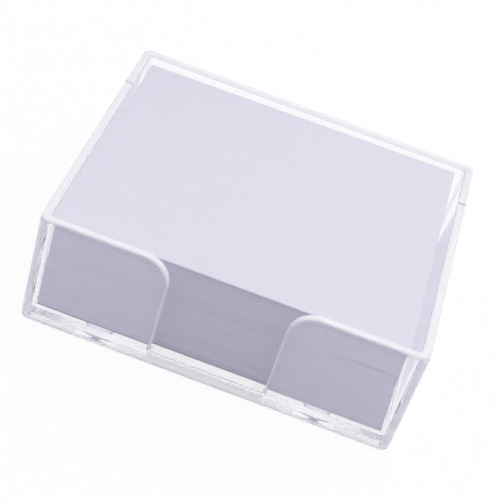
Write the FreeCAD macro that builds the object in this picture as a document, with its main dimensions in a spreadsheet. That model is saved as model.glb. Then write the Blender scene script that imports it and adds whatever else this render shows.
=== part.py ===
import FreeCAD, Part
import os
import Sketcher

os.makedirs("parts", exist_ok=True)

# All lengths are in millimetres. X runs left to right, the front faces -Y, Z is up, and the
# origin is the point of the table top under the middle of the tray.
DIMENSIONS = {
    # One memo sheet, a letter sheet cut in six, that the tray is built around.
    "sheet_width": 108.0,
    "sheet_depth": 93.0,
    "sheet_thickness": 0.1,
    # The stack of loose sheets.
    "stack_height": 33.0,
    "stack_side_gap": 0.9,
    "stack_step": 0.4,
    # The room that the tray leaves round a sheet.
    "side_clearance": 2.15,
    "front_clearance": 1.1,
    "rear_clearance": 1.5,
    "rim_above_paper": 2.2,
    # The moulded tray.
    "wall": 2.7,
    "floor_thickness": 2.7,
    "skirt_height": 1.8,
    "corner_radius": 2.5,
    "well_corner_radius": 1.2,
    "rim_round": 0.6,
    # The finger cut-out in the front wall.
    "cutout_width": 36.2,
    "cutout_corner_radius": 9.0,
    # The pair of slots across the side rims.
    "rim_slot_width": 3.2,
    "rim_slot_depth": 1.0,
    "rim_slot_from_back": 23.7,
    # Round moulding marks in the underside of the floor.
    "mark_radius": 3.6,
    "mark_depth": 0.2,
    "mark_from_side": 13.5,
    "mark_from_front": 7.0,
    # The bumper feet.
    "foot_radius": 5.0,
    "foot_taper": 0.5,
    "foot_round": 0.8,
    "foot_reach": 0.5,
    "foot_from_middle": 35.0,
    "foot_gap": 0.6,
    # How far a cutting outline runs past the face that it opens.
    "overrun": 2.0,
}

# Two places or lengths closer than this are taken as the same.
CLOSE = 1e-6

BUNDLE_COUNT = 12
STEPPED_BUNDLES = 5
LOOSE_SHEETS = ("memo_sheet_third", "memo_sheet_second", "memo_sheet_top")
FEET = {
    "foot_front_left": (-1, -1),
    "foot_front_right": (1, -1),
    "foot_rear_left": (-1, 1),
    "foot_rear_right": (1, 1),
}
# How far each bundle has slipped back from the front, as shares of the free depth, bottom first.
BUNDLE_SLIP_SHARES = (0.30, 0.05, 0.42, 0.18, 0.00, 0.36, 0.12, 0.45, 0.24, 0.06, 0.33, 0.15)
SHEET_SLIP_SHARES = (0.40, 0.10, 0.27)

TRAY_WIDTH = "(dims.sheet_width + 2 * dims.side_clearance + 2 * dims.wall)"
TRAY_DEPTH = "(dims.sheet_depth + dims.front_clearance + dims.rear_clearance + 2 * dims.wall)"
WELL_WIDTH = f"({TRAY_WIDTH} - 2 * dims.wall)"
WELL_DEPTH = f"({TRAY_DEPTH} - 2 * dims.wall)"
UNDERSIDE = "(dims.foot_reach + dims.skirt_height)"
FLOOR_TOP = f"({UNDERSIDE} + dims.floor_thickness)"
RIM_TOP = f"({FLOOR_TOP} + dims.stack_height + dims.rim_above_paper)"
SLOT_REAR = f"({TRAY_DEPTH} / 2 - dims.rim_slot_from_back + dims.rim_slot_width / 2)"
LOOSE_HEIGHT = f"({len(LOOSE_SHEETS)} * dims.sheet_thickness)"
BUNDLE_HEIGHT = f"((dims.stack_height - {LOOSE_HEIGHT}) / {BUNDLE_COUNT})"
STACK_LEFT = f"(dims.stack_side_gap - {WELL_WIDTH} / 2)"
STACK_SPREAD = "(2 * dims.side_clearance - 2 * dims.stack_side_gap)"
STACK_FRONT = f"(dims.front_clearance - {WELL_DEPTH} / 2)"

doc = FreeCAD.newDocument("memo_pad_holder")
sheet = doc.addObject("Spreadsheet::Sheet", "dims")
for row, (alias, length) in enumerate(DIMENSIONS.items(), start=1):
    sheet.set(f"A{row}", alias)
    sheet.set(f"B{row}", str(length))
    sheet.setAlias(f"B{row}", alias)
doc.recompute()


def number(expression):
    """The present value of an expression over the driving dimensions."""
    return float(sheet.evalExpression(expression))


def new_body(label):
    body = doc.addObject("PartDesign::Body", label)
    body.Label = label
    return body


def new_sketch(body, name, role, raised_by="0"):
    """An empty sketch on one of the body's own planes, raised along that plane's normal."""
    sketch = body.newObject("Sketcher::SketchObject", name)
    plane = next(o for o in body.Origin.OriginFeatures if o.Role == role)
    sketch.AttachmentSupport = [(plane, "")]
    sketch.MapMode = "FlatFace"
    sketch.setExpression("AttachmentOffset.Base.z", raised_by)
    return sketch


def place_point(sketch, name, element, end, across, up):
    """Hold one point of a sketch at two expressions, measured from the sketch's origin."""
    for axis, way, expression in (("DistanceX", "across", across), ("DistanceY", "up", up)):
        held = sketch.addConstraint(
            Sketcher.Constraint(axis, -1, 1, element, end, number(expression))
        )
        sketch.renameConstraint(held, f"{name}_{way}")
        sketch.setExpression(f"Constraints.{name}_{way}", expression)


def outline(sketch, corners):
    """A closed outline of straight sides through corners that are pairs of expressions."""
    points = [FreeCAD.Vector(number(across), number(up), 0) for across, up in corners]
    count = len(points)
    for side in range(count):
        sketch.addGeometry(Part.LineSegment(points[side], points[(side + 1) % count]), False)
    for side in range(count):
        sketch.addConstraint(Sketcher.Constraint("Coincident", side, 2, (side + 1) % count, 1))
    for side, (across, up) in enumerate(corners):
        place_point(sketch, f"corner_{side}", side, 1, across, up)


def rectangle(sketch, left, right, low, high):
    outline(sketch, [(left, low), (right, low), (right, high), (left, high)])


def centred_rectangle(sketch, width, depth):
    rectangle(sketch, f"-{width} / 2", f"{width} / 2", f"-{depth} / 2", f"{depth} / 2")


def pad(body, name, sketch, length):
    feature = body.newObject("PartDesign::Pad", name)
    feature.Profile = sketch
    feature.setExpression("Length", length)
    doc.recompute()
    return feature


def pocket(body, name, sketch, length, towards_normal=False, symmetric=False):
    """Cut a sketch's outline away; a cut that takes nothing has gone the wrong way."""
    uncut = body.Tip.Shape.Volume
    feature = body.newObject("PartDesign::Pocket", name)
    feature.Profile = sketch
    feature.Reversed = towards_normal
    feature.SideType = "Symmetric" if symmetric else "One side"
    feature.setExpression("Length", length)
    doc.recompute()
    if feature.Shape.Volume >= uncut:
        raise ValueError(f"{name} removes nothing")
    return feature


def fillet(body, name, wanted, radius):
    """Round every edge of the body so far for which the test on the edge holds."""
    base = body.Tip
    edges = [f"Edge{i}" for i, edge in enumerate(base.Shape.Edges, start=1) if wanted(edge)]
    feature = body.newObject("PartDesign::Fillet", name)
    feature.Base = (base, edges)
    feature.setExpression("Radius", radius)
    doc.recompute()
    return feature


def same(one, other):
    return abs(one - other) < CLOSE


def is_upright(edge):
    box = edge.BoundBox
    return same(box.XLength, 0) and same(box.YLength, 0)


def is_across_front_wall(edge):
    box = edge.BoundBox
    return same(box.XLength, 0) and same(box.ZLength, 0) and box.YMax < 0


def is_well_corner(edge):
    middle = edge.CenterOfMass
    beside = same(abs(middle.x), number(WELL_WIDTH) / 2)
    return is_upright(edge) and beside and same(abs(middle.y), number(WELL_DEPTH) / 2)


def is_cutout_top(edge):
    middle = edge.CenterOfMass
    beside = same(abs(middle.x), number("dims.cutout_width") / 2)
    return is_across_front_wall(edge) and beside and same(middle.z, number(RIM_TOP))


def is_rim(edge):
    """True for the edges along the rim's two sides, down both ends of the cut-out as well."""
    box = edge.BoundBox
    if same(box.ZMin, number(RIM_TOP)):
        return not is_across_front_wall(edge) or not same(box.YLength, number("dims.wall"))
    cutout_reach = number("dims.cutout_width / 2 + dims.cutout_corner_radius")
    in_cutout = box.YMax < 0 and max(abs(box.XMin), abs(box.XMax)) < cutout_reach + CLOSE
    return in_cutout and box.ZLength > CLOSE and box.ZMax > number(FLOOR_TOP) + CLOSE


def tray():
    """The moulded tray: a block with a well for the sheets over a shallow skirted recess."""
    body = new_body("holder_shell")
    footprint = new_sketch(body, "footprint", "XY_Plane", "dims.foot_reach")
    centred_rectangle(footprint, TRAY_WIDTH, TRAY_DEPTH)
    pad(body, "block", footprint, f"{RIM_TOP} - dims.foot_reach")
    fillet(body, "outer_corners", is_upright, "dims.corner_radius")

    well = new_sketch(body, "well_outline", "XY_Plane", RIM_TOP)
    centred_rectangle(well, WELL_WIDTH, WELL_DEPTH)
    pocket(body, "well", well, f"{RIM_TOP} - {FLOOR_TOP}")
    fillet(body, "well_corners", is_well_corner, "dims.well_corner_radius")

    recess = new_sketch(body, "recess_outline", "XY_Plane", "dims.foot_reach")
    centred_rectangle(recess, WELL_WIDTH, WELL_DEPTH)
    pocket(body, "recess", recess, "dims.skirt_height", towards_normal=True)

    cut_finger_way(body)
    fillet(body, "rim_edges", is_rim, "dims.rim_round")
    cut_rim_slots(body)
    cut_moulding_marks(body)
    return body


def cut_finger_way(body):
    """Open the middle of the front wall down to the floor and round its two upper corners."""
    opening = new_sketch(body, "cutout_outline", "XZ_Plane")
    half = "dims.cutout_width / 2"
    rectangle(opening, f"-{half}", half, FLOOR_TOP, f"{RIM_TOP} + dims.overrun")
    pocket(body, "cutout", opening, f"{TRAY_DEPTH} / 2 + dims.overrun", towards_normal=True)
    fillet(body, "cutout_corners", is_cutout_top, "dims.cutout_corner_radius")


def cut_rim_slots(body):
    """One slot across each side rim, cut in a single pass from side to side."""
    slot = new_sketch(body, "rim_slot_outline", "YZ_Plane")
    front = f"{SLOT_REAR} - dims.rim_slot_width"
    bottom = f"{RIM_TOP} - dims.rim_slot_depth"
    rectangle(slot, front, SLOT_REAR, bottom, f"{RIM_TOP} + dims.overrun")
    pocket(body, "rim_slots", slot, f"{TRAY_WIDTH} + 2 * dims.overrun", symmetric=True)


def cut_moulding_marks(body):
    """Four shallow round marks in the underside, one near each corner."""
    marks = new_sketch(body, "mark_outlines", "XY_Plane", UNDERSIDE)
    for index, (side, end) in enumerate(FEET.values()):
        across = f"{side} * ({TRAY_WIDTH} / 2 - dims.mark_from_side)"
        along = f"{end} * ({TRAY_DEPTH} / 2 - dims.mark_from_front)"
        centre = FreeCAD.Vector(number(across), number(along), 0)
        circle = Part.Circle(centre, FreeCAD.Vector(0, 0, 1), number("dims.mark_radius"))
        element = marks.addGeometry(circle, False)
        place_point(marks, f"mark_{index}", element, 3, across, along)
        held = marks.addConstraint(
            Sketcher.Constraint("Radius", element, number("dims.mark_radius"))
        )
        marks.renameConstraint(held, f"mark_{index}_radius")
        marks.setExpression(f"Constraints.mark_{index}_radius", "dims.mark_radius")
    pocket(body, "marks", marks, "dims.mark_depth", towards_normal=True)


def foot(label, side, end):
    """A soft tapered bumper stuck under the floor, just inside the skirt."""
    body = new_body(label)
    profile = new_sketch(body, f"{label}_profile", "XZ_Plane")
    tread = "dims.foot_radius - dims.foot_taper"
    outline(profile, [("0", "0"), (tread, "0"), ("dims.foot_radius", UNDERSIDE), ("0", UNDERSIDE)])
    turned = body.newObject("PartDesign::Revolution", f"{label}_turned")
    turned.Profile = profile
    turned.ReferenceAxis = (profile, ["V_Axis"])
    doc.recompute()
    fillet(body, f"{label}_tread", lambda edge: edge.BoundBox.ZMax < CLOSE, "dims.foot_round")
    body.setExpression("Placement.Base.x", f"{side} * dims.foot_from_middle")
    reach = f"{WELL_DEPTH} / 2 - dims.foot_gap - dims.foot_radius"
    body.setExpression("Placement.Base.y", f"{end} * ({reach})")
    return body


def paper(label, left, front, bottom, width, height):
    """A flat block of paper whose near left lower corner lies at the three expressions."""
    block = doc.addObject("Part::Box", label)
    block.Label = label
    block.setExpression("Length", width)
    block.setExpression("Width", "dims.sheet_depth")
    block.setExpression("Height", height)
    block.setExpression("Placement.Base.x", left)
    block.setExpression("Placement.Base.y", front)
    block.setExpression("Placement.Base.z", bottom)
    return block


def bundles():
    """The stack in bundles; towards the bottom the sheets are spread wider to the right."""
    made = []
    for index, slip in enumerate(BUNDLE_SLIP_SHARES):
        spread_share = 1 - index / (BUNDLE_COUNT - 1)
        stepped = index >= BUNDLE_COUNT - STEPPED_BUNDLES
        step = "dims.stack_step" if stepped else "0"
        made.append(
            paper(
                f"memo_bundle_{index + 1:02d}",
                f"{STACK_LEFT} + {step}",
                f"{STACK_FRONT} + {slip} * dims.rear_clearance",
                f"{FLOOR_TOP} + {index} * {BUNDLE_HEIGHT}",
                f"dims.sheet_width + {spread_share} * {STACK_SPREAD} * (1 - {int(stepped)} / 2)",
                BUNDLE_HEIGHT,
            )
        )
    return made


def loose_sheets():
    """The last sheets on top of the stack, each one free to be taken."""
    made = []
    for index, (label, slip) in enumerate(zip(LOOSE_SHEETS, SHEET_SLIP_SHARES)):
        made.append(
            paper(
                label,
                f"{STACK_LEFT} + dims.stack_step",
                f"{STACK_FRONT} + {slip} * dims.rear_clearance",
                f"{FLOOR_TOP} + {BUNDLE_COUNT} * {BUNDLE_HEIGHT} + {index} * dims.sheet_thickness",
                "dims.sheet_width",
                "dims.sheet_thickness",
            )
        )
    return made


subparts = [tray()]
subparts += [foot(label, side, end) for label, (side, end) in FEET.items()]
subparts += bundles()
subparts += loose_sheets()
doc.recompute()

for item in doc.Objects:
    if "Invalid" in item.State or "Error" in item.State:
        raise ValueError(f"{item.Name} did not build: {item.State}")

for part in subparts:
    if part.Shape.isNull() or not part.Shape.isValid():
        raise ValueError(f"{part.Label} has no valid shape")
    part.Shape.exportStep(f"parts/{part.Label}.step")
    box = part.Shape.BoundBox
    print(f"{part.Label}: {box.XLength:.2f} x {box.YLength:.2f} x {box.ZLength:.2f} mm")
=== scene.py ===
# %% [markdown]
# # A clear memo pad holder
# The object is a clear moulded tray, filled nearly to the rim with loose white memo sheets. This
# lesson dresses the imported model: the exact parts give every place and size, and each visible
# piece is worked out again as a fine surface with a finish of its own.

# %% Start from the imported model
import math

import bmesh
import bpy
import numpy as np
from mathutils import Matrix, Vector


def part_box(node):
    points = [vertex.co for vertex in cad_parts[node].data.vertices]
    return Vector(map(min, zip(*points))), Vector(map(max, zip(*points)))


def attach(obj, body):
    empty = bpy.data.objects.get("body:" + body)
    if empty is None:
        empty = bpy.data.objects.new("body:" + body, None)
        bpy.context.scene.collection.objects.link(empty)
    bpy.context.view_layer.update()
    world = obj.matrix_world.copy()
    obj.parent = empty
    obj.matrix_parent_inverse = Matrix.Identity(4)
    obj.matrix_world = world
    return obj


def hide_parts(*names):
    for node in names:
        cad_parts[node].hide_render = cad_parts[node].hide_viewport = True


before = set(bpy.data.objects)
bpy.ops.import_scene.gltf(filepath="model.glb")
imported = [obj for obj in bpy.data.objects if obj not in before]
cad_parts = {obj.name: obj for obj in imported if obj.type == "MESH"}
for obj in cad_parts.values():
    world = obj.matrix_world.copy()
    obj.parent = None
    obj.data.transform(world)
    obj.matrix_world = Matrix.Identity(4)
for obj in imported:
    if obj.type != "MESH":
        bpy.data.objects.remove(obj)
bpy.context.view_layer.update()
MM = 0.001

# %% [markdown]
# The tray's own numbers come first. Its outer box, the level of its floor and the level of its
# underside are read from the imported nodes, so the surfaces below can't drift away from them. The
# few radii and wall sizes that a box can't tell are written here once.

# %% Sizes of the tray
tray_low, tray_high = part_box("holder_shell")
half_width = tray_high.x
half_depth = tray_high.y
base_level = tray_low.z
rim_level = tray_high.z
floor_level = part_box("memo_bundle_01")[0].z
underside_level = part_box("foot_front_left")[1].z
foot_place = (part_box("foot_front_right")[0].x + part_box("foot_front_right")[1].x) / 2

WALL = 2.7 * MM
CORNER_RADIUS = 2.5 * MM
WELL_CORNER_RADIUS = 1.2 * MM
RIM_ROUND = 0.8 * MM
LIP_ROUND = 0.15 * MM
BASE_ROUND = 0.6 * MM
RECESS_ROUND = 0.4 * MM
SKIRT_ROUND = 1.0 * MM
SKIRT_TAPER = 1.5 * MM
FLOOR_ROUND = 0.3 * MM
CUTOUT_HALF_WIDTH = 18.1 * MM
CUTOUT_CORNER_RADIUS = 9.0 * MM
CUTOUT_FOOT_RADIUS = 1.0 * MM
SLOT_WIDTH = 3.2 * MM
SLOT_DEPTH = 0.8 * MM
SLOT_FROM_BACK = 23.7 * MM
SLOT_LIP_RADIUS = 0.45 * MM
SLOT_FOOT_RADIUS = 0.3 * MM
SLOT_ROUND = 0.3 * MM
SLOT_BLEND = 3.0 * MM
print(f"tray {2000 * half_width:.1f} x {2000 * half_depth:.1f} mm, rim at {1000 * rim_level:.1f} mm")

# %% [markdown]
# The rim of the tray is one line that runs right round the box. At the front it dips down one end
# of the finger cut-out, crosses the floor's edge and climbs the other end, and on each side it
# dips through a small slot. Each side's line is a few straight runs joined by arcs, so the helper
# below takes corner points and radii and returns the points along the line, the direction that
# points out of the plastic, and where the same station stands at the foot of the wall.

# %% The rim's line along one side
ARC_STEP = math.radians(3)
RUN_STEP = 0.8 * MM
FAN_SHARE = 0.5
SQUEEZE_SHARE = 0.8


def rim_line(corners, radii):
    """Straight runs between corners (along, up), each inner corner replaced by an arc.

    An arc starts radius * tan(turn / 2) before its corner and turns evenly about its centre. The
    outward normal is the tangent turned a quarter to the left. The foot follows the line on level
    runs; beside an upright run it fans out, so that the wall below is spread over real faces.
    """
    corners = np.array(corners, float)
    runs = np.diff(corners, axis=0)
    ways = runs / np.linalg.norm(runs, axis=1)[:, None]
    cross = ways[:-1, 0] * ways[1:, 1] - ways[:-1, 1] * ways[1:, 0]
    turns = np.arctan2(cross, np.sum(ways[:-1] * ways[1:], axis=1))
    cut = np.concatenate([[0], np.array(radii) * np.tan(np.abs(turns) / 2), [0]])
    points, normals, feet = [], [], []
    for i, way in enumerate(ways):
        left = np.array([-way[1], way[0]])
        begin = corners[i] + way * cut[i]
        finish = corners[i + 1] - way * cut[i + 1]
        count = max(2, int(np.linalg.norm(finish - begin) / RUN_STEP) + 1)
        share = np.linspace(0, 1, count)[:, None]
        run = begin + (finish - begin) * share
        if abs(way[0]) > abs(way[1]):
            foot = run[:, 0]
        else:
            high = cut[i] if way[1] < 0 else cut[i + 1]
            fan = np.linspace(1, 0, count) if way[1] < 0 else np.linspace(0, 1, count)
            foot = run[:, 0] + np.sign(way[1]) * FAN_SHARE * high * fan
        points.append(run)
        normals.append(np.broadcast_to(left, run.shape))
        feet.append(foot)
        if i + 1 < len(ways):
            turn = turns[i]
            centre = finish + left * np.sign(turn) * radii[i]
            count = max(3, int(abs(turn) / ARC_STEP) + 1)
            angle = np.linspace(0, turn, count)[1:-1]
            spin = np.stack([np.cos(angle), -np.sin(angle), np.sin(angle), np.cos(angle)], axis=1)
            turned = spin.reshape(-1, 2, 2) @ left
            points.append(centre - np.sign(turn) * radii[i] * turned)
            normals.append(turned)
            feet.append(np.full(len(angle), np.nan))
    points, normals, feet = np.concatenate(points), np.concatenate(normals), np.concatenate(feet)
    known = ~np.isnan(feet)
    travelled = np.concatenate([[0], np.cumsum(np.linalg.norm(np.diff(points, axis=0), axis=1))])
    return points, normals, np.interp(travelled, travelled[known], feet[known])


# %% [markdown]
# With the rim's line known, the whole tray is one closed surface of two parameters. The first runs
# round the box; the second carries a profile from the middle of the underside out to the skirt,
# up the outside of the wall, over the rim, down the inside and across the floor to its middle. A
# boolean of boxes would give the same outline, but clear plastic shows every edge, and here each
# edge is a true round.

# %% Stations round the tray
def side_stations(outer_reach, inner_reach, outer_wall, inner_wall, line):
    """Stations along one side in that side's own axes: along, out and up.

    The inner line is squeezed a little near its ends, because its corners start elsewhere.
    """
    points, normals, feet = line
    squeeze_from = SQUEEZE_SHARE * inner_reach
    ratio = (inner_reach - squeeze_from) / (outer_reach - squeeze_from)

    def inner(along):
        past = np.clip(np.abs(along) - squeeze_from, 0, None)
        return along - np.sign(along) * past * (1 - ratio)

    def place(along, out, up):
        return np.stack([along, np.full(len(along), out), up], axis=1)

    level = np.zeros(len(points))
    return {
        "outer_foot": place(feet, outer_wall, level),
        "inner_foot": place(inner(feet), inner_wall, level),
        "outer_rim": place(points[:, 0], outer_wall, points[:, 1]),
        "inner_rim": place(inner(points[:, 0]), inner_wall, points[:, 1]),
        "rim_normal": place(normals[:, 0], 0, normals[:, 1]),
    }


def corner_stations(half_along, half_out):
    """A quarter turn at the right-hand end of a side, about separate inner and outer centres."""
    angle = np.linspace(0, math.pi / 2, int(math.pi / 2 / ARC_STEP) + 1)[1:-1]
    turn = np.stack([np.sin(angle), np.cos(angle)], axis=1)
    outer = np.array([half_along, half_out]) - CORNER_RADIUS + CORNER_RADIUS * turn
    inner_radius = WELL_CORNER_RADIUS
    inner = np.array([half_along, half_out]) - WALL - inner_radius + inner_radius * turn
    level = np.zeros((len(angle), 1))
    top = level + rim_level
    return {
        "outer_foot": np.hstack([outer, level]),
        "inner_foot": np.hstack([inner, level]),
        "outer_rim": np.hstack([outer, top]),
        "inner_rim": np.hstack([inner, top]),
        "rim_normal": np.hstack([0 * turn, level + 1]),
    }


def to_frame(stations, along, out):
    """Turn a side's own axes (along, out, up) into the frame's."""
    basis = np.array([along, out, (0, 0, 1)], float)
    return {key: points @ basis for key, points in stations.items()}


def ring_of_stations():
    """All four sides and corners, anticlockwise from the left end of the front."""
    front_reach, side_reach = half_width - CORNER_RADIUS, half_depth - CORNER_RADIUS
    inner_cut = WALL + WELL_CORNER_RADIUS
    front = rim_line(
        [
            (-front_reach, rim_level),
            (-CUTOUT_HALF_WIDTH, rim_level),
            (-CUTOUT_HALF_WIDTH, floor_level),
            (CUTOUT_HALF_WIDTH, floor_level),
            (CUTOUT_HALF_WIDTH, rim_level),
            (front_reach, rim_level),
        ],
        [CUTOUT_CORNER_RADIUS, CUTOUT_FOOT_RADIUS, CUTOUT_FOOT_RADIUS, CUTOUT_CORNER_RADIUS],
    )
    slot_middle = half_depth - SLOT_FROM_BACK
    slot_bottom = rim_level - SLOT_DEPTH
    sides = {}
    for way in (1, -1):
        near, far = way * slot_middle - SLOT_WIDTH / 2, way * slot_middle + SLOT_WIDTH / 2
        sides[way] = rim_line(
            [
                (-side_reach, rim_level),
                (near, rim_level),
                (near, slot_bottom),
                (far, slot_bottom),
                (far, rim_level),
                (side_reach, rim_level),
            ],
            [SLOT_LIP_RADIUS, SLOT_FOOT_RADIUS, SLOT_FOOT_RADIUS, SLOT_LIP_RADIUS],
        )
    rear = rim_line([(-front_reach, rim_level), (front_reach, rim_level)], [])
    plan = [
        (front, half_width, half_depth, (1, 0, 0), (0, -1, 0)),
        (sides[1], half_depth, half_width, (0, 1, 0), (1, 0, 0)),
        (rear, half_width, half_depth, (-1, 0, 0), (0, 1, 0)),
        (sides[-1], half_depth, half_width, (0, -1, 0), (-1, 0, 0)),
    ]
    pieces = []
    for line, half_along, half_out, along, out in plan:
        outer_reach, inner_reach = half_along - CORNER_RADIUS, half_along - inner_cut
        run = side_stations(outer_reach, inner_reach, half_out, half_out - WALL, line)
        pieces.append(to_frame(run, along, out))
        pieces.append(to_frame(corner_stations(half_along, half_out), along, out))
    return {key: np.concatenate([piece[key] for piece in pieces]) for key in pieces[0]}


stations = ring_of_stations()
print("stations round the tray:", len(stations["outer_foot"]))

# %% [markdown]
# The underside has four shallow round marks left by the mould. They are part of the same surface:
# the height of the recess's ceiling is raised inside each circle by a smooth step, and the circle
# is satin where the mould's pin pressed.

# %% Rows of the tray's profile
WELD = 1e-4 * MM
MARK_RADIUS = 3.6 * MM
MARK_DEPTH = 0.03 * MM
MARK_SOFTNESS = 0.9 * MM
MARK_FROM_SIDE = 13.5 * MM
MARK_FROM_FRONT = 7.0 * MM
ROUND_STEPS = 9
CEILING_SHARES = np.concatenate([np.linspace(0.98, 0.34, 4), np.linspace(0.3, 0.01, 24)])
FLOOR_SHARES = (0.05, 0.08, 0.3, 0.5, 0.7, 0.96)
SCUFF_EDGE = 0.4 * MM
WORN_TOP = 1.5
WORN_SIDE = 0.7
LIP_SCUFF = 0.1
SKIRT_SATIN = 0.5
SKIRT_POLISH = 0.05
POLISH_REACH = 6.5 * MM
BASE_SATIN = 0.8
BASE_SCUFF = 0.5
MIDDLE_SCUFF = 1.0
MIDDLE_BLEND = 6.0 * MM
BASE_POLISH = 0.15
BASE_SCUFF_HEIGHT = 2.6 * MM
UNDERSIDE_SATIN = 0.045
MARK_SATIN = 0.1
CORNER_SCUFF = 0.35
CORNER_SATIN = 0.3


def mark_share(points):
    """A smooth step from 0 outside to 1 inside each of the four circles of the marks."""
    across = half_width - MARK_FROM_SIDE
    along = half_depth - MARK_FROM_FRONT
    away = np.hypot(np.abs(points[:, 0]) - across, np.abs(points[:, 1]) - along)
    step = np.clip((MARK_RADIUS - away) / MARK_SOFTNESS * 0.5 + 0.5, 0, 1)
    return step * step * (3 - 2 * step)


def quarter(radius_a, radius_b, start_deg, stop_deg):
    """Pairs (a, b) on a quarter round: a = radius_a * (1 - cos), b = radius_b * (1 - sin)."""
    angle = np.radians(np.linspace(start_deg, stop_deg, ROUND_STEPS))
    return zip(radius_a * (1 - np.cos(angle)), radius_b * (1 - np.sin(angle)))


def lift(points, height):
    return points + np.array([0, 0, 1]) * np.reshape(height, (-1, 1))


def towards(start, end, distance):
    """The point a distance along the way from start to end, but never past the end's half."""
    way = end - start
    length = np.maximum(np.linalg.norm(way, axis=1)[:, None], WELD)
    return start + way * np.minimum(distance / length, 0.5)


def tray_rows():
    """Rows of points from the underside's middle, round the wall's profile, to the floor's middle.

    The rim's round shrinks near a slot, so that it fits the slot's own small lip.

    A second array says how scuffed each point is: most along the rim and on the base below the
    cut-out, which hands touch, less on the rest of the base, which slides over desks, and on the
    upright corners, and little by the feet and on the lip of the cut-out.
    A third says how satin it left the mould: most under the skirt, then inside it but for the places
    by the feet, at the upright corners, in the marks, a trace under the floor, none on the walls.
    """
    outer, inner = stations["outer_foot"], stations["inner_foot"]
    outer_rim, inner_rim = stations["outer_rim"], stations["inner_rim"]
    normal = stations["rim_normal"]
    inward = inner - outer
    inward /= np.linalg.norm(inward, axis=1)[:, None]
    across = inner_rim - outer_rim
    across /= np.linalg.norm(across, axis=1)[:, None]
    above_floor = np.clip((inner_rim[:, 2] - floor_level) / (2 * RIM_ROUND), 0, 1)[:, None]
    from_slot = np.abs(outer_rim[:, 1] - half_depth + SLOT_FROM_BACK) - SLOT_WIDTH / 2 - SLOT_LIP_RADIUS
    clear_of_slot = np.clip(from_slot / SLOT_BLEND, 0, 1)[:, None]
    rim_round = SLOT_ROUND + (RIM_ROUND - SLOT_ROUND) * clear_of_slot
    inner_round = rim_round * above_floor
    outer_round = LIP_ROUND + (rim_round - LIP_ROUND) * above_floor
    wall_height = np.clip(inner_rim[:, 2] - floor_level - RIM_ROUND, 0, None)
    floor_round = np.minimum(FLOOR_ROUND, wall_height)[:, None]
    reach = np.array([half_width, half_depth]) - CORNER_RADIUS
    on_corner = np.all(np.abs(outer[:, :2]) > reach + WELD, axis=1)
    corner_satin = CORNER_SATIN * on_corner
    from_foot = np.abs(np.abs(inner[:, 0]) - foot_place)
    skirt_satin = np.where(from_foot < POLISH_REACH, SKIRT_POLISH, SKIRT_SATIN)
    base_scuff = np.where(from_foot < POLISH_REACH, BASE_POLISH, BASE_SCUFF)
    past_cutout = np.clip((np.abs(outer[:, 0]) - CUTOUT_HALF_WIDTH) / MIDDLE_BLEND, 0, 1)
    in_middle = np.where(outer[:, 1] < 0, 1 - past_cutout, 0)
    base_scuff = base_scuff + (MIDDLE_SCUFF - base_scuff) * in_middle
    in_cutout = outer_rim[:, 2] < floor_level + RIM_ROUND
    on_rim = np.where(in_cutout, LIP_SCUFF, 1.0)
    wall_scuff = np.where(in_cutout, MIDDLE_SCUFF, CORNER_SCUFF * on_corner)

    rows, scuffs, satins = [], [], []

    def carry(points, scuffed, satin=0):
        rows.append(points)
        scuffs.append(np.broadcast_to(scuffed, len(points)))
        satins.append(np.broadcast_to(satin, len(points)))

    for share in CEILING_SHARES:
        ring = (inner + inward * RECESS_ROUND) * (1 - share)
        pressed = mark_share(ring)
        satin = UNDERSIDE_SATIN + MARK_SATIN * pressed
        carry(lift(ring, underside_level + MARK_DEPTH * pressed), 0, satin)
    for a, b in quarter(RECESS_ROUND, RECESS_ROUND, 0, 90):
        carry(lift(inner + inward * b, underside_level - a), 0, skirt_satin)
    for a, b in quarter(SKIRT_TAPER, SKIRT_ROUND, 0, 90):
        satin = skirt_satin + (BASE_SATIN - skirt_satin) * min(1, 2 * a / SKIRT_TAPER)
        carry(lift(inner - inward * a, base_level + b), 0, satin)
    for a, b in quarter(BASE_ROUND, BASE_ROUND, 90, 0):
        carry(lift(outer + inward * a, base_level + b), base_scuff, BASE_SATIN * a / BASE_ROUND)
    carry(lift(outer, base_level + BASE_SCUFF_HEIGHT), base_scuff, corner_satin)
    carry(lift(outer, base_level + BASE_SCUFF_HEIGHT + SCUFF_EDGE), wall_scuff, corner_satin)
    outer_edge = outer_rim - normal * outer_round
    below_edge = towards(outer_edge, lift(outer, base_level + BASE_SCUFF_HEIGHT), SCUFF_EDGE)
    carry(below_edge, wall_scuff, corner_satin)
    for a, b in quarter(1, 1, 0, 90):
        worn = on_rim * (WORN_TOP - (WORN_TOP - WORN_SIDE) * b)
        carry(outer_rim + across * outer_round * a - normal * outer_round * b, worn)
    for a, b in quarter(1, 1, 90, 0):
        worn = on_rim * (WORN_TOP - (WORN_TOP - WORN_SIDE) * b)
        carry(inner_rim - across * inner_round * a - normal * inner_round * b, worn)
    inner_edge = inner_rim - normal * inner_round
    foot = lift(inner, floor_level)
    carry(towards(inner_edge, foot, SCUFF_EDGE), 0)
    carry(towards(foot, inner_edge, floor_round + SCUFF_EDGE), 0)
    for a, b in quarter(1, 1, 0, 90):
        rise = np.array([0, 0, 1]) * floor_round * b
        carry(foot + inward * floor_round * a + rise, 0)
    for share in FLOOR_SHARES:
        carry(lift((inner + inward * floor_round) * (1 - share), floor_level), 0)
    return np.array(rows), {"rim_scuff": np.array(scuffs), "mould_satin": np.array(satins)}


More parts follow.
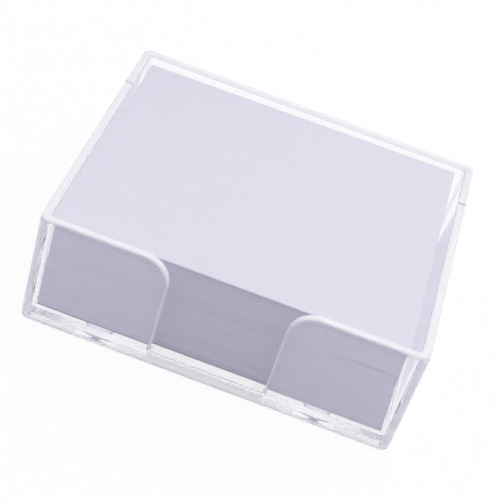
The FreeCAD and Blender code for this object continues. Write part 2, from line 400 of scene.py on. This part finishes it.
def closed_skin(name, rows, first_pole, last_pole):
    """A closed mesh from rings of points: quads between rings, a fan of triangles at each pole."""
    count, around = rows.shape[:2]
    index = np.arange(count * around).reshape(count, around)
    ahead = np.roll(index, -1, axis=1)
    quads = np.stack([index[:-1], ahead[:-1], ahead[1:], index[1:]], axis=-1).reshape(-1, 4)
    start, end = count * around, count * around + 1
    first_fan = np.stack([np.full(around, start), ahead[0], index[0]], axis=-1)
    last_fan = np.stack([index[-1], ahead[-1], np.full(around, end)], axis=-1)
    points = np.concatenate([rows.reshape(-1, 3), [first_pole, last_pole]])
    mesh = bpy.data.meshes.new(name)
    faces = [*quads.tolist(), *first_fan.tolist(), *last_fan.tolist()]
    mesh.from_pydata(points.tolist(), [], faces)
    return mesh


def weld(mesh):
    """Merge points that coincide and drop the empty faces between them."""
    work = bmesh.new()
    work.from_mesh(mesh)
    bmesh.ops.remove_doubles(work, verts=work.verts, dist=WELD)
    bmesh.ops.dissolve_degenerate(work, edges=work.edges, dist=WELD)
    work.to_mesh(mesh)
    work.free()


def add_piece(name, mesh, body, replaced):
    """Put a mesh in the scene as a smooth piece that moves with a body in place of a node."""
    mesh.shade_smooth()
    piece = bpy.data.objects.new(name, mesh)
    bpy.context.scene.collection.objects.link(piece)
    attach(piece, body)
    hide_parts(replaced)
    return piece


rows, finishes = tray_rows()
tray_mesh = closed_skin("clear_tray", rows, (0, 0, underside_level), (0, 0, floor_level))
for finish_name, finish_rows in finishes.items():
    amount = tray_mesh.attributes.new(finish_name, "FLOAT", "POINT")
    per_point = np.concatenate([finish_rows.reshape(-1), [0, 0]])
    amount.data.foreach_set("value", per_point.astype(np.float32))
weld(tray_mesh)
tray = add_piece("clear_tray", tray_mesh, "holder", "holder_shell")
flat_walls = tray.modifiers.new("flat_walls_lead", "WEIGHTED_NORMAL")
flat_walls.mode = "FACE_AREA"
flat_walls.weight = 100
print("tray faces:", len(tray_mesh.polygons))

# %% [markdown]
# The stack is made of real sheets, because the cut edges are what the eye reads as paper. Each
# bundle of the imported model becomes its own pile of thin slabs. The guillotine left the right edge
# leaning, so the sheets grow a little narrower towards the top, and each is slightly out of line
# with the next: neighbours slip together, so the slip is a slow wander with a small jitter on it.

# %% Piles of sheets
SEED = 11
SHEET_PITCH = 0.1 * MM
SHEET_FILL_SHARE = 0.96
LEFT_SLIP = 0.10 * MM
RIGHT_SLIP = 0.25 * MM
FRONT_SLIP = 0.03 * MM
JITTER_SHARE = 0.4
PUSHED_RIGHT = 0.3 * MM
RIGHT_FROM = 30.0 * MM
# The pushed-in sheets also carry a painted shadow line, strongest at the front right corner.
PUSHED_SHADOW_PAINT = np.array([0, 0, -4, -15, 0, 0])
RIGHT_SHEETS = {"memo_bundle_09": (8, 9)}
# The lowest sheets carry a painted shadow line at the foot of the stack, darkest at the left front.
FOOT_SHADOW_SHEETS = {"memo_bundle_01": (0, 1, 2, 3, 4)}
FOOT_SHADOW_PAINT = np.array([-40, -30, 0, 0, 0, -40])
FOOT_SHADOW_END = -26.0 * MM
TRAY_CONTACT_GAP = 0.05 * MM
FRONT_TRIM = 0.3 * MM
REAR_LEFT_SAG = 0.8 * MM
stack_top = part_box("memo_sheet_top")[1].z
random = np.random.default_rng(SEED)


def slips(count):
    """A slow random walk between -1 and 1, plus a share of jitter for each sheet."""
    steps = np.cumsum(random.normal(0, 1, count))
    steps -= np.linspace(steps[0], steps[-1], count)
    return steps / max(np.abs(steps).max(), 1) + JITTER_SHARE * random.normal(0, 1, count).clip(-1, 1)


def corner_sag(height):
    """How far the rear left corner of a sheet sags, in proportion to its height over the floor."""
    return REAR_LEFT_SAG * (height - floor_level) / (stack_top - floor_level)


def sheet_pile(name, node, above, bottom_gap):
    """Thin slabs piled up in a node's box, six corners each, edges moving to the box above.

    A few sheets are pushed in at the front right corner and carry a painted shadow line there, the
    lowest carry a painted shadow line at the foot of the stack towards the left, and the stack sags
    at its rear left corner. The faces fan out from that corner, so a sheet falls to it at least as
    fast as the waved sheets above, and none of them cuts into another.
    """
    low, high = (np.array(corner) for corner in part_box(node))
    next_low, next_high = (np.array(corner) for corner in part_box(above))
    low[2] += bottom_gap
    count = round((high[2] - low[2]) / SHEET_PITCH)
    pitch = (high[2] - low[2]) / count
    share = np.arange(count) / count
    left = low[0] + LEFT_SLIP * (1 + slips(count)) / 2
    right = high[0] + (next_high[0] - high[0]) * share - RIGHT_SLIP * (1 + slips(count)) / 2
    front = low[1] + (next_low[1] - low[1]) * share + FRONT_SLIP * (1 + slips(count))
    back = front + (high[1] - low[1])
    push_right = np.zeros(count)
    push_right[list(RIGHT_SHEETS.get(node, ()))] = PUSHED_RIGHT
    bend_left, bend_right = np.full(count, FOOT_SHADOW_END), np.full(count, RIGHT_FROM)
    front_left, front_right = left + FRONT_TRIM, right - FRONT_TRIM
    across = np.stack([front_left, bend_left, bend_right, front_right, right, left], axis=1)
    along = np.stack([front, front, front, front + push_right, back, back], axis=1)
    bottom = np.repeat((low[2] + pitch * np.arange(count))[:, None], 6, axis=1)
    bottom[:, 5] -= corner_sag(bottom[:, 5])
    ring = np.stack([across, along, bottom], axis=-1)
    thick = np.array([0, 0, pitch * SHEET_FILL_SHARE])
    points = np.concatenate([ring, ring + thick], axis=1)
    first = 12 * np.arange(count)[:, None]
    fan = np.stack([np.full(4, 5), np.arange(4), np.arange(1, 5)], axis=-1)
    fans = (first[:, None] + np.concatenate([fan[:, ::-1], fan + 6])).reshape(-1, 3)
    corner, after = np.arange(6), np.roll(np.arange(6), -1)
    edge = np.stack([corner, after, after + 6, corner + 6], axis=-1)
    edges = (first[:, None] + edge).reshape(-1, 4)
    mesh = bpy.data.meshes.new(name)
    faces = [*fans.tolist(), *edges.tolist()]
    mesh.from_pydata(points.reshape(-1, 3).tolist(), [], faces)
    tone_and_shade = mesh.attributes.new("sheet_tone_and_shade", "FLOAT", "POINT")
    # Each sheet's own random tone; the painted shadow lines are added to it below.
    shade = np.repeat(random.normal(0, 1, count).clip(-2, 2)[:, None], 12, axis=1)
    # Painted shadow line at the foot of the stack, on the lowest sheets.
    shade[list(FOOT_SHADOW_SHEETS.get(node, ()))] += np.tile(FOOT_SHADOW_PAINT, 2)
    # Painted shadow line on the pushed-in sheets at the front right.
    shade[list(RIGHT_SHEETS.get(node, ()))] += np.tile(PUSHED_SHADOW_PAINT, 2)
    tone_and_shade.data.foreach_set("value", shade.reshape(-1).astype(np.float32))
    piece = add_piece(name, mesh, "memo_block", node)
    mesh.shade_flat()
    return piece, count


bundle_nodes = sorted(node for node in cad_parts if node.startswith("memo_bundle"))
paper_pieces = []
sheet_total = 0
for place, (node, above) in enumerate(zip(bundle_nodes, [*bundle_nodes[1:], "memo_sheet_third"])):
    gap = TRAY_CONTACT_GAP if place == 0 else 0
    pile, count = sheet_pile(node.replace("memo_bundle", "sheet_pile"), node, above, gap)
    paper_pieces.append(pile)
    sheet_total += count
print("sheets in the piles:", sheet_total)

# %% [markdown]
# The last three sheets are free to be taken, so each is a piece of its own. A real sheet is never
# quite flat: it cockles by a few hundredths of a millimetre as it takes up moisture. Each sheet also
# carries a painted shade that darkens it towards its rear left corner. The surface is a height over
# a grid, and the same grid a sheet's thickness lower is its back.

# %% Loose sheets on top
COCKLE = 0.02 * MM
SHARP_EDGE = math.radians(40)
CORNER_SHADE_PAINT = 4.0
SHEET_GRID = (45, 37)
PHASE_STEP = 1.7
LOOSE_BODIES = {
    "memo_sheet_third": "third_sheet",
    "memo_sheet_second": "second_sheet",
    "memo_sheet_top": "top_sheet",
}


def cockle(across, along, phase):
    """Height of the sheet: two slow crossed waves, scaled to lie between 0 and COCKLE."""
    first = np.sin(2 * math.pi * (1.6 * across + 0.7 * along) + phase)
    second = np.sin(2 * math.pi * (1.1 * along - 0.5 * across) + 2.1 * phase)
    return COCKLE * (0.5 + 0.25 * first + 0.25 * second)


def loose_sheet(name, node, body, phase):
    """A sheet as two grids of points, its top and its back, joined along the edge."""
    low, high = (np.array(corner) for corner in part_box(node))
    columns, rows = SHEET_GRID
    across, along = np.meshgrid(np.linspace(0, 1, columns), np.linspace(0, 1, rows))
    plan = low[:2] + np.stack([across, along], axis=-1) * (high - low)[:2]
    height = cockle(across, along, phase) - COCKLE - corner_sag(low[2]) * along * (1 - across)
    top = np.concatenate([plan, (high[2] + height)[..., None]], axis=-1)
    back = top - np.array([0, 0, (high - low)[2] - COCKLE])
    index = np.arange(columns * rows).reshape(rows, columns)
    shift = columns * rows
    face = [index[:-1, :-1], index[:-1, 1:], index[1:, 1:], index[1:, :-1]]
    up = np.stack(face, axis=-1).reshape(-1, 4)
    down = up[:, ::-1] + shift
    edge = np.concatenate([index[0, :-1], index[:-1, -1], index[-1, :0:-1], index[:0:-1, 0]])
    after = np.roll(edge, -1)
    rim = np.stack([edge + shift, after + shift, after, edge], axis=-1)
    mesh = bpy.data.meshes.new(name)
    points = np.concatenate([top.reshape(-1, 3), back.reshape(-1, 3)])
    mesh.from_pydata(points.tolist(), [], np.concatenate([up, down, rim]).tolist())
    # A painted shade darkens the sheet towards its rear left corner.
    painted_corner_shade = -CORNER_SHADE_PAINT * (along * (1 - across)) ** 2
    tone_and_shade = mesh.attributes.new("sheet_tone_and_shade", "FLOAT", "POINT")
    tone_and_shade.data.foreach_set("value", np.tile(painted_corner_shade.reshape(-1), 2).astype(np.float32))
    piece = add_piece(name, mesh, body, node)
    mesh.set_sharp_from_angle(angle=SHARP_EDGE)
    return piece


for place, (node, body) in enumerate(LOOSE_BODIES.items()):
    paper_pieces.append(loose_sheet(node.replace("memo_", "loose_"), node, body, PHASE_STEP * place))
print("paper pieces:", len(paper_pieces))

# %% [markdown]
# Four soft bumpers lift the tray off the table. A bumper is turned, so its surface is a profile
# of radius against height carried once round its axis.

# %% Bumper feet
FOOT_TREAD_ROUND = 0.8 * MM
FOOT_TAPER = 0.5 * MM
FOOT_TOP_GAP = 0.02 * MM
FOOT_AROUND = 56
FOOT_ROUND_STEPS = 8
TREAD_RING_SHARE = 0.4
TOP_RING_SHARE = 0.5
FOOT_NODES = ["foot_front_left", "foot_front_right", "foot_rear_left", "foot_rear_right"]


def bumper(node):
    """Rings of radius r(height) about the foot's axis: tread, rounded shoulder, tapered side."""
    low, high = (np.array(corner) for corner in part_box(node))
    middle = (low + high) / 2
    top_radius = (high[0] - low[0]) / 2
    tread_radius = top_radius - FOOT_TAPER
    top = high[2] - FOOT_TOP_GAP
    angle = np.radians(np.linspace(0, 90, FOOT_ROUND_STEPS))
    shoulder_radius = tread_radius - FOOT_TREAD_ROUND * (1 - np.sin(angle))
    shoulder_height = low[2] + FOOT_TREAD_ROUND * (1 - np.cos(angle))
    tread_ring, top_ring = TREAD_RING_SHARE * tread_radius, TOP_RING_SHARE * top_radius
    radius = np.concatenate([[tread_ring], shoulder_radius, [top_radius, top_ring]])
    height = np.concatenate([[low[2]], shoulder_height, [top, top]])
    turn = np.linspace(0, 2 * math.pi, FOOT_AROUND, endpoint=False)
    circle = np.stack([np.cos(turn), np.sin(turn), np.zeros(FOOT_AROUND)], axis=-1)
    rows = radius[:, None, None] * circle[None]
    rows[..., :2] += middle[:2]
    rows[..., 2] = height[:, None]
    name = node.replace("foot", "bumper")
    mesh = closed_skin(name, rows, (*middle[:2], low[2]), (*middle[:2], top))
    return add_piece(name, mesh, "holder", node)


bumpers = [bumper(node) for node in FOOT_NODES]
for piece in bumpers:
    lead = piece.modifiers.new("flat_faces_lead", "WEIGHTED_NORMAL")
    lead.mode = "FACE_AREA"
print("bumper feet:", len(bumpers))

# %% [markdown]
# Finishes are node trees. Writing them as sums of Python objects keeps them short: `Value` wraps
# one output socket, its operators add Math nodes, and `Finish.node` adds any other node.

# %% Shader arithmetic
class Value:
    """One output of a node tree. Arithmetic on it adds Math nodes to the same tree."""

    def __init__(self, finish, socket):
        self.finish = finish
        self.socket = socket

    def math(self, operation, first, second):
        return self.finish.node("ShaderNodeMath", {"operation": operation}, {0: first, 1: second})

    def __add__(self, other):
        return self.math("ADD", self, other)

    def __radd__(self, other):
        return self.math("ADD", other, self)

    def __sub__(self, other):
        return self.math("SUBTRACT", self, other)

    def __rsub__(self, other):
        return self.math("SUBTRACT", other, self)

    def __mul__(self, other):
        return self.math("MULTIPLY", self, other)

    def __rmul__(self, other):
        return self.math("MULTIPLY", other, self)


class Finish:
    """A node tree that starts empty and ends in one output node."""

    def __init__(self, tree, output_type):
        self.tree = tree
        tree.nodes.clear()
        self.output = tree.nodes.new(output_type)

    def node(self, kind, settings, inputs, output=0):
        """Add a node: its settings first, then a value or a link for each named socket."""
        made = self.tree.nodes.new(kind)
        for key, setting in settings.items():
            setattr(made, key, setting)
        for key, given in inputs.items():
            if isinstance(given, Value):
                self.tree.links.new(given.socket, made.inputs[key])
            else:
                made.inputs[key].default_value = given
        return Value(self, made.outputs[output])

    def surface(self, shader, socket="Surface"):
        self.tree.links.new(shader.socket, self.output.inputs[socket])


def material_finish(name):
    material = bpy.data.materials.new(name)
    material.use_nodes = True
    return material, Finish(material.node_tree, "ShaderNodeOutputMaterial")


def dress(piece, material):
    piece.data.materials.clear()
    piece.data.materials.append(material)


# %% [markdown]
# The tray is polished clear acrylic. It is almost colourless, bends light strongly, and carries
# faint handling haze: the roughness is nearly zero with soft patches, and a very slow bump gives
# the slight waviness of a moulded wall. Scuffs mix in fine scratches that scatter light, lavender
# where they are slight and white where they are dense, and satin places are rougher.

# %% Clear acrylic
ACRYLIC_IOR = 1.49
ACRYLIC_TINT = (0.985, 0.983, 0.995, 1.0)
ACRYLIC_DEPTH = (0.45, 0.42, 0.65, 1.0)
HAZE_ROUGHNESS = 0.01
RIM_ROUGHNESS = 0.3
RIM_HAZE = 0.5
SLIGHT_SCUFF = (0.84, 0.80, 1.0, 1.0)
DENSE_SCUFF = (0.915, 0.915, 0.94, 1.0)
CAST_SLOPE = 2
CAST_START = 0.8


def clear_acrylic():
    material, finish = material_finish("clear_acrylic")
    place = finish.node("ShaderNodeTexCoord", {}, {}, "Object")
    haze = finish.node(
        "ShaderNodeTexNoise", {}, {"Vector": place, "Scale": 90.0, "Detail": 3.0, "Roughness": 0.6}
    )
    flow = finish.node(
        "ShaderNodeTexNoise", {}, {"Vector": place, "Scale": 26.0, "Detail": 1.0, "Roughness": 0.4}
    )
    scuffed = finish.node("ShaderNodeAttribute", {"attribute_name": "rim_scuff"}, {}, "Fac")
    satin = finish.node("ShaderNodeAttribute", {"attribute_name": "mould_satin"}, {}, "Fac")
    wave = finish.node(
        "ShaderNodeBump", {}, {"Height": flow, "Strength": 0.001, "Distance": 0.4 * MM}
    )
    shader = finish.node(
        "ShaderNodeBsdfPrincipled",
        {},
        {
            "Base Color": ACRYLIC_TINT,
            "Roughness": HAZE_ROUGHNESS * haze + RIM_ROUGHNESS * scuffed + satin,
            "IOR": ACRYLIC_IOR,
            "Transmission Weight": 1.0,
            "Normal": wave,
        },
    )
    cast = finish.node(
        "ShaderNodeMix",
        {"data_type": "RGBA"},
        {"Factor": CAST_SLOPE * scuffed - CAST_START, 6: SLIGHT_SCUFF, 7: DENSE_SCUFF},
        2,
    )
    fine_scratches = finish.node(
        "ShaderNodeBsdfPrincipled", {}, {"Base Color": cast, "Roughness": 0.6}
    )
    hazed = RIM_HAZE * scuffed
    finish.surface(
        finish.node("ShaderNodeMixShader", {}, {"Fac": hazed, 1: shader, 2: fine_scratches})
    )
    depth = finish.node(
        "ShaderNodeVolumeAbsorption", {}, {"Color": ACRYLIC_DEPTH, "Density": 1.0}
    )
    finish.surface(depth, "Volume")
    return material


dress(tray, clear_acrylic())
print("tray finish:", tray.data.materials[0].name)

# %% [markdown]
# The bumpers are soft clear polyurethane, a little cloudy. Their level faces are seen straight
# through, and their round sides carry a painted dark edge, most where they curve away, standing
# in for the dark edge that bent light gives a drop.

# %% Bumper with painted dark edges
BUMPER_IOR = 1.49
BUMPER_PAINTED_DARK_EDGE = (0.10, 0.10, 0.20, 1.0)
BUMPER_CLEAR = (0.95, 0.95, 0.98, 1.0)
PAINTED_EDGE_SLOPE = 1.5
PAINTED_EDGE_START = 0.4


def bumper_with_painted_edge():
    material, finish = material_finish("bumper_with_painted_edge")
    place = finish.node("ShaderNodeTexCoord", {}, {}, "Object")
    cloud = finish.node(
        "ShaderNodeTexNoise", {}, {"Vector": place, "Scale": 700.0, "Detail": 2.0, "Roughness": 0.5}
    )
    rim = finish.node(
        "ShaderNodeBsdfPrincipled",
        {},
        {
            "Base Color": BUMPER_PAINTED_DARK_EDGE,
            "Roughness": 0.05 + 0.1 * cloud,
            "IOR": BUMPER_IOR,
            "Transmission Weight": 1.0,
        },
    )
    middle = finish.node("ShaderNodeBsdfTransparent", {}, {"Color": BUMPER_CLEAR})
    facing = finish.node("ShaderNodeLayerWeight", {}, {"Blend": 0.5}, "Facing")
    normal = finish.node("ShaderNodeTexCoord", {}, {}, "Normal")
    level = finish.node("ShaderNodeSeparateXYZ", {}, {"Vector": normal}, "Z")
    # Painted shade: the round sides, most where they face away, mix in the dark shader.
    edge = (PAINTED_EDGE_SLOPE * facing + PAINTED_EDGE_START) * (1 - level * level)
    finish.surface(finish.node("ShaderNodeMixShader", {}, {"Fac": edge, 1: middle, 2: rim}))
    return material


bumper_finish = bumper_with_painted_edge()
for piece in bumpers:
    dress(piece, bumper_finish)
print("bumper finish:", bumper_finish.name)

# %% [markdown]
# The sheets are plain uncoated paper with a cool white. Close up it is a felt of fibres, so fine
# noise moves its colour and roughness a little and raises a slight bump, and every sheet in a pile
# is a shade lighter or darker than the next. Faces turned to the left or right carry a painted
# light, so the sides of the pile read a shade lighter.

# %% Uncoated memo paper
PAPER_DARK = (0.45, 0.45, 0.53, 1.0)
PAPER_WHITE = (0.89, 0.89, 0.975, 1.0)
PAPER_LIGHT = 0.66
FIBRE_LIGHT = 0.06
BLOTCH_LIGHT = 0.045
TONE_AND_SHADE_LIGHT = 0.023
PAINTED_SIDE_LIGHT = 0.17


def uncoated_paper():
    material, finish = material_finish("uncoated_paper")
    place = finish.node("ShaderNodeTexCoord", {}, {}, "Object")
    fibre = finish.node(
        "ShaderNodeTexNoise", {}, {"Vector": place, "Scale": 2600.0, "Detail": 4.0, "Roughness": 0.65}
    )
    blotch = finish.node(
        "ShaderNodeTexNoise", {}, {"Vector": place, "Scale": 120.0, "Detail": 2.0, "Roughness": 0.5}
    )
    tone_and_shade = finish.node("ShaderNodeAttribute", {"attribute_name": "sheet_tone_and_shade"}, {}, "Fac")
    normal = finish.node("ShaderNodeTexCoord", {}, {}, "Normal")
    sideways = finish.node("ShaderNodeSeparateXYZ", {}, {"Vector": normal}, "X")
    light = PAPER_LIGHT + FIBRE_LIGHT * (fibre - 0.5) + BLOTCH_LIGHT * (blotch - 0.5)
    # The sheet attribute brings each sheet's own tone plus the painted shades laid on the sheets.
    light = light + TONE_AND_SHADE_LIGHT * tone_and_shade
    # Painted light: faces turned left or right are made lighter.
    light = light + PAINTED_SIDE_LIGHT * sideways * sideways
    colour = finish.node(
        "ShaderNodeMix",
        {"data_type": "RGBA", "clamp_factor": False},
        {"Factor": light, 6: PAPER_DARK, 7: PAPER_WHITE},
        2,
    )
    felt = finish.node(
        "ShaderNodeBump", {}, {"Height": fibre, "Strength": 0.15, "Distance": 0.02 * MM}
    )
    shader = finish.node(
        "ShaderNodeBsdfPrincipled",
        {},
        {
            "Base Color": colour,
            "Roughness": 0.78 + 0.16 * fibre,
            "Specular IOR Level": 0.25,
            "Normal": felt,
        },
    )
    finish.surface(shader)
    return material


paper_finish = uncoated_paper()
for piece in paper_pieces:
    dress(piece, paper_finish)
print("paper finish:", paper_finish.name)

# %% [markdown]
# The holder stands on a white table under soft light. What the camera sees straight on, or through
# clear plastic, is a white ground with a pale shadow; what lights the object is a dimmer dome and
# a broad lamp above and behind, so the upright faces stay a shade darker than the top.

# %% Table and surroundings
TABLE_HALF = 3.0
TABLE_DROP = 0.05 * MM
TABLE_BOUNCE = (0.72, 0.71, 0.80, 1.0)
TABLE_GLOW_SHARE = 0.9
DOME_STRENGTH = 0.8
ROOM_FRONT = (0.12, 0.115, 0.16, 1.0)
ROOM_OPEN = (0.97, 0.97, 1.0, 1.0)
ROOM_ABOVE = 0.6


def ray_kinds(finish, *kinds):
    """1 for a ray that is of any of these kinds, and 0 for the rest."""
    found = sum(finish.node("ShaderNodeLightPath", {}, {}, f"Is {kind} Ray") for kind in kinds)
    return finish.node("ShaderNodeMath", {"operation": "MINIMUM"}, {0: found, 1: 1.0})


def white_table():
    material, finish = material_finish("white_table")
    bounce = finish.node("ShaderNodeBsdfDiffuse", {}, {"Color": TABLE_BOUNCE})
    ground = finish.node("ShaderNodeBsdfDiffuse", {}, {"Color": (0.98, 0.98, 0.98, 1.0)})
    glow = finish.node("ShaderNodeEmission", {}, {"Color": (1, 1, 1, 1), "Strength": 1.0})
    shown = finish.node("ShaderNodeMixShader", {}, {"Fac": TABLE_GLOW_SHARE, 1: ground, 2: glow})
    scattered = finish.node("ShaderNodeLightPath", {}, {}, "Diffuse Depth")
    seen = ray_kinds(finish, "Camera", "Glossy", "Transmission") - scattered
    seen = finish.node("ShaderNodeMath", {"operation": "MAXIMUM"}, {0: seen, 1: 0.0})
    finish.surface(finish.node("ShaderNodeMixShader", {}, {"Fac": seen, 1: bounce, 2: shown}))
    return material


corners = np.array([(-1, -1, 0), (1, -1, 0), (1, 1, 0), (-1, 1, 0)]) * TABLE_HALF
corners[:, 2] = -TABLE_DROP
table_mesh = bpy.data.meshes.new("table_top")
table_mesh.from_pydata(corners.tolist(), [], [(0, 1, 2, 3)])
table = bpy.data.objects.new("table_top", table_mesh)
bpy.context.scene.collection.objects.link(table)
dress(table, white_table())

world = bpy.data.worlds.new("studio")
world.use_nodes = True
bpy.context.scene.world = world
dome = Finish(world.node_tree, "ShaderNodeOutputWorld")
way = dome.node("ShaderNodeTexCoord", {}, {}, "Generated")
ahead = dome.node("ShaderNodeSeparateXYZ", {}, {"Vector": way}, "Y")
upward = dome.node("ShaderNodeSeparateXYZ", {}, {"Vector": way}, "Z")
openness = dome.node(
    "ShaderNodeMath", {"operation": "ADD", "use_clamp": True}, {0: 1 + ahead, 1: ROOM_ABOVE * upward}
)
room = dome.node(
    "ShaderNodeMix", {"data_type": "RGBA"}, {"Factor": openness, 6: ROOM_FRONT, 7: ROOM_OPEN}, 2
)
lighting = dome.node("ShaderNodeBackground", {}, {"Color": room, "Strength": DOME_STRENGTH})
mirrored = dome.node("ShaderNodeBackground", {}, {"Color": room, "Strength": 1.0})
ground = dome.node("ShaderNodeBackground", {}, {"Color": (1, 1, 1, 1), "Strength": 1.0})
through = ray_kinds(dome, "Glossy", "Transmission")
unseen = dome.node("ShaderNodeMixShader", {}, {"Fac": through, 1: lighting, 2: mirrored})
straight = ray_kinds(dome, "Camera")
dome.surface(dome.node("ShaderNodeMixShader", {}, {"Fac": straight, 1: unseen, 2: ground}))
print("stage:", table.name, "and", world.name)

# %% Lamp
KEY_POWER = 2.2
KEY_SIZE = 0.6
KEY_PLACE = (0.2, 0.05, 0.82)


def aimed_lamp(name, place, power, size):
    """A square lamp that looks at the middle of the holder."""
    lamp = bpy.data.lights.new(name, "AREA")
    lamp.energy = power
    lamp.size = size
    lamp_object = bpy.data.objects.new(name, lamp)
    back = np.array(place) / np.linalg.norm(place)
    right = np.cross((0, 1, 0), back)
    right /= np.linalg.norm(right)
    up = np.cross(back, right)
    turn = Matrix(np.stack([right, up, back], axis=1).tolist()).to_4x4()
    lamp_object.matrix_world = Matrix.Translation(place) @ turn
    bpy.context.scene.collection.objects.link(lamp_object)
    return lamp_object


key = aimed_lamp("key_above_behind", KEY_PLACE, KEY_POWER, KEY_SIZE)
print("lamp:", key.name)

# %% [markdown]
# The camera looks down at the front with a roll, as a picture taken by hand does. Its place is
# given by two angles, a distance and a small sideways offset in its own picture plane.

# %% Camera
CAMERA_AZIMUTH = math.radians(2.67)
CAMERA_ELEVATION = math.radians(39.25)
CAMERA_ROLL = math.radians(18.54)
CAMERA_DISTANCE = 463.95 * MM
CAMERA_OFFSET = (2.16 * MM, 11.01 * MM)
CAMERA_LENS = 102.05
CAMERA_SENSOR = 36.0


def camera_matrix():
    """Axes from azimuth and elevation, turned by the roll, then moved back along the view."""
    back = np.array(
        [
            math.sin(CAMERA_AZIMUTH) * math.cos(CAMERA_ELEVATION),
            -math.cos(CAMERA_AZIMUTH) * math.cos(CAMERA_ELEVATION),
            math.sin(CAMERA_ELEVATION),
        ]
    )
    level = np.cross((0, 0, 1), back)
    level /= np.linalg.norm(level)
    upward = np.cross(back, level)
    right = math.cos(CAMERA_ROLL) * level + math.sin(CAMERA_ROLL) * upward
    up = math.cos(CAMERA_ROLL) * upward - math.sin(CAMERA_ROLL) * level
    place = CAMERA_OFFSET[0] * right + CAMERA_OFFSET[1] * up + CAMERA_DISTANCE * back
    turn = Matrix(np.stack([right, up, back], axis=1).tolist()).to_4x4()
    return Matrix.Translation(place.tolist()) @ turn


camera_data = bpy.data.cameras.new("camera")
camera_data.lens = CAMERA_LENS
camera_data.sensor_width = CAMERA_SENSOR
camera = bpy.data.objects.new("camera", camera_data)
camera.matrix_world = camera_matrix()
bpy.context.scene.collection.objects.link(camera)
bpy.context.scene.camera = camera
bpy.context.scene.view_settings.view_transform = "Standard"
paths = bpy.context.scene.cycles
paths.blur_glossy = 0.0
paths.max_bounces = 160
paths.glossy_bounces = 128
paths.transmission_bounces = 128
print("camera at", [round(1000 * part) for part in camera.matrix_world.translation], "mm")
